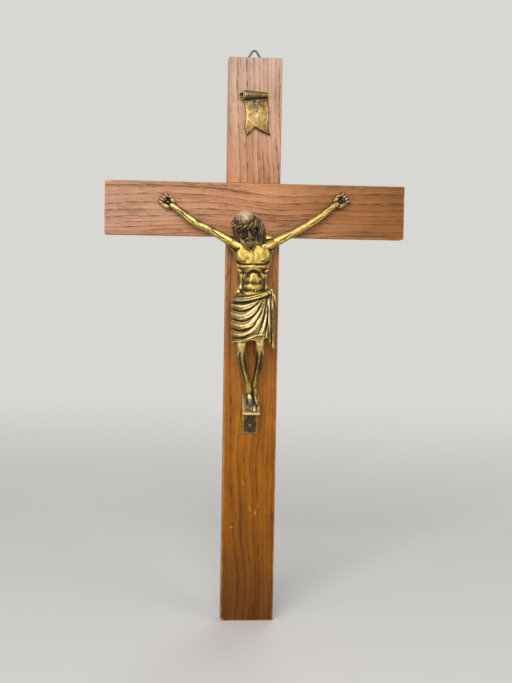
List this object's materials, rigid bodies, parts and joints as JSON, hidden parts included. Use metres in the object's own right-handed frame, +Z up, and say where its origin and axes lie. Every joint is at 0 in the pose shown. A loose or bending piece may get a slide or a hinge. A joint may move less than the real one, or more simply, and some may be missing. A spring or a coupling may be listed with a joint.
{
  "type": "crucifix",
  "caption": "Oak wall crucifix with a flush lap joint, a cast brass figure with pinned arms, a sloping foot rest, a blank scroll plate and a strap hanger with a swinging wire ring.",
  "frame": {"origin": "the inside of the hanger ring's apex, where it bears on the wall nail", "axes": "+Z up along the upright, +X to the viewer's right along the crossbar, +Y into the wall; the figure faces -Y"},
  "size_m": [0.225, 0.0466, 0.4341],
  "materials": {
    "oak": "satin varnish over stained oak",
    "aged_brass": "cast, rubbed bright on the high places and dark in the hollows",
    "brass_wire": "drawn wire, tarnished",
    "steel": "dull zinc-plated steel"
  },
  "bodies": {
    "cross": {"upright_beam": "oak", "cross_beam": "oak", "lap_screw_left": "steel", "lap_screw_right": "steel", "corpus": "aged_brass", "left_arm": "aged_brass", "right_arm": "aged_brass", "left_shoulder_pin": "brass_wire", "right_shoulder_pin": "brass_wire", "left_hand_nail": "brass_wire", "right_hand_nail": "brass_wire", "foot_rest": "aged_brass", "foot_peg": "brass_wire", "foot_rest_nail": "brass_wire", "scroll_plate": "aged_brass", "scroll_nail": "brass_wire", "hanger_strap": "steel", "hanger_screw": "steel"},
    "ring": {"hanger_ring": "steel"}
  },
  "joints": [
    {"name": "ring_hinge", "type": "hinge", "parent": "cross", "child": "ring", "pos_m": [0, 0, -0.0115], "axis": [-1, 0, 0], "range_deg": [-8, 160]}
  ]
}
